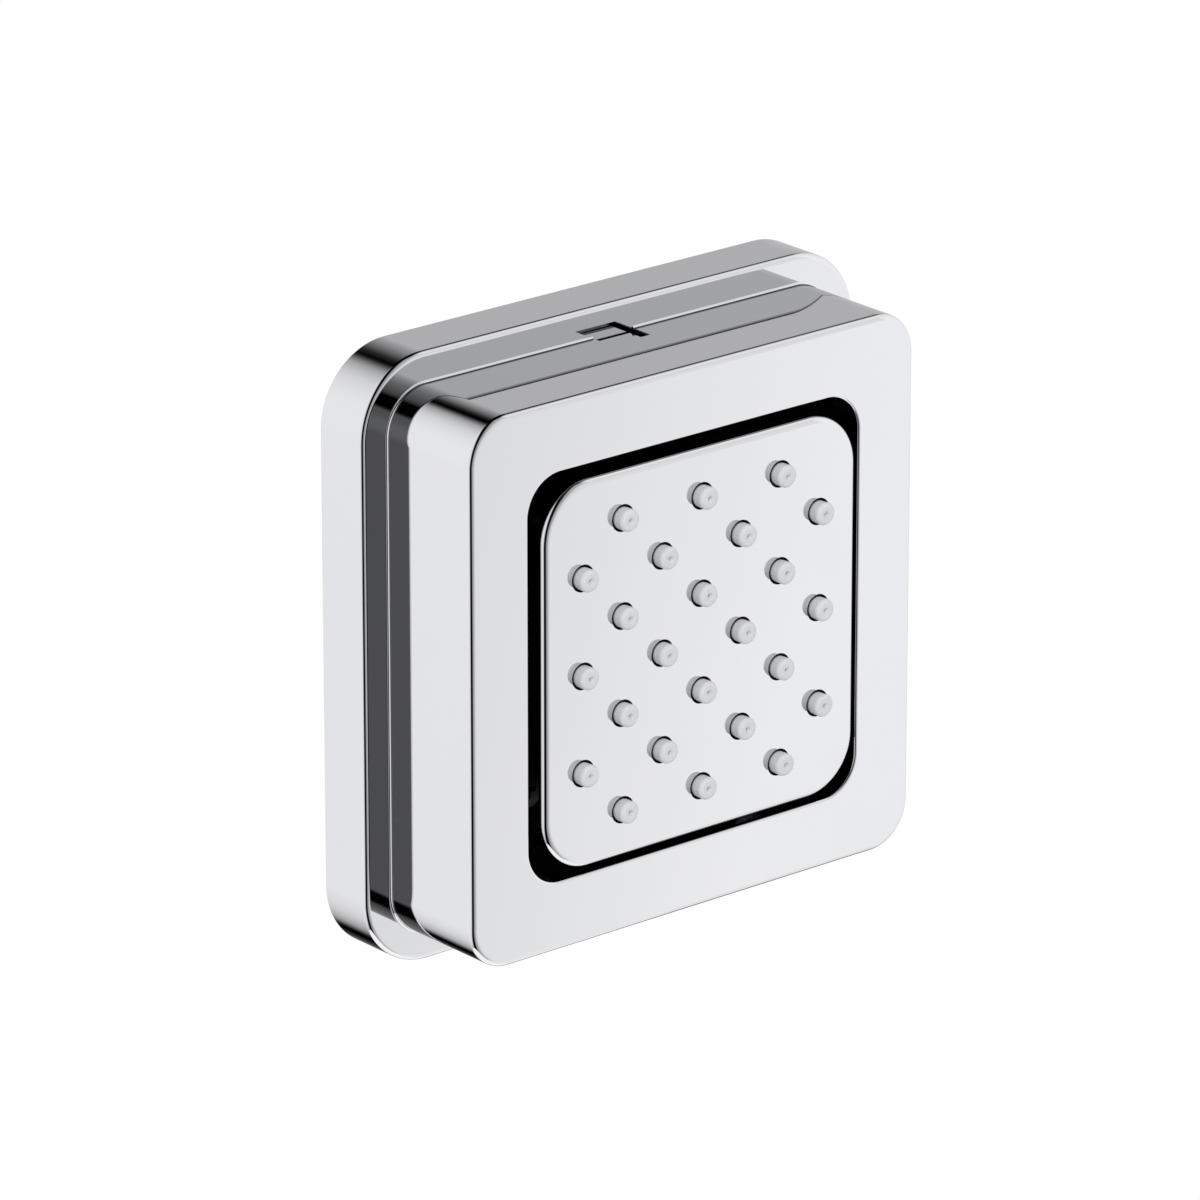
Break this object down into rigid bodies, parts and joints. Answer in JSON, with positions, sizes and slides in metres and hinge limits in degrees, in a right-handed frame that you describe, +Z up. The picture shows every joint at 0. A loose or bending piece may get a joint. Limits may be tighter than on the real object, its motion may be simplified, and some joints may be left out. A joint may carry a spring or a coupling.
{
  "type": "shower body jet",
  "caption": "Square wall-mounted shower body jet: a chromed wall plate and head shell around a tilting spray face with soft nozzles on a ball joint.",
  "frame": {"origin": "centre of the inlet thread's mouth, on the wall plane", "axes": "+Z up, +Y into the wall along the inlet thread, +X to the right as seen from in front"},
  "size_m": [0.1, 0.0335, 0.1],
  "materials": {
    "chromed_abs": "mirror-bright chrome plating on moulded ABS",
    "black_nylon": "matt moulded black",
    "white_acetal": "smooth natural acetal",
    "stainless_steel": "plain stainless steel",
    "black_rubber": "moulded EPDM rubber",
    "grey_foam": "closed-cell foam",
    "brass": "turned brass",
    "silicone": "translucent grey-white silicone"
  },
  "bodies": {
    "wall_set": {"wall_plate": "chromed_abs", "rim_seal": "grey_foam", "wall_bracket": "black_nylon", "ball_union": "brass", "union_gasket": "black_rubber", "clamp_washer": "stainless_steel", "inlet_strainer": "stainless_steel", "inlet_washer": "black_rubber", "flow_limiter": "white_acetal", "head_shell": "chromed_abs", "inner_frame": "black_nylon", "frame_screws": "stainless_steel"},
    "seat_ring": {"seat_ring": "white_acetal"},
    "spray_head": {"spray_face": "chromed_abs", "nozzle_mat": "silicone", "spray_chamber": "black_nylon", "chamber_seal": "black_rubber", "face_screws": "stainless_steel", "ball_seal": "black_rubber", "socket_nut": "white_acetal"}
  },
  "joints": [
    {"name": "tilt_up_down", "type": "hinge", "parent": "wall_set", "child": "seat_ring", "pos_m": [0, -0.0181, 0], "axis": [1, 0, 0], "range_deg": [-6, 6]},
    {"name": "tilt_left_right", "type": "hinge", "parent": "seat_ring", "child": "spray_head", "pos_m": [0, -0.0181, 0], "axis": [0, 0, 1], "range_deg": [-6, 6]}
  ]
}
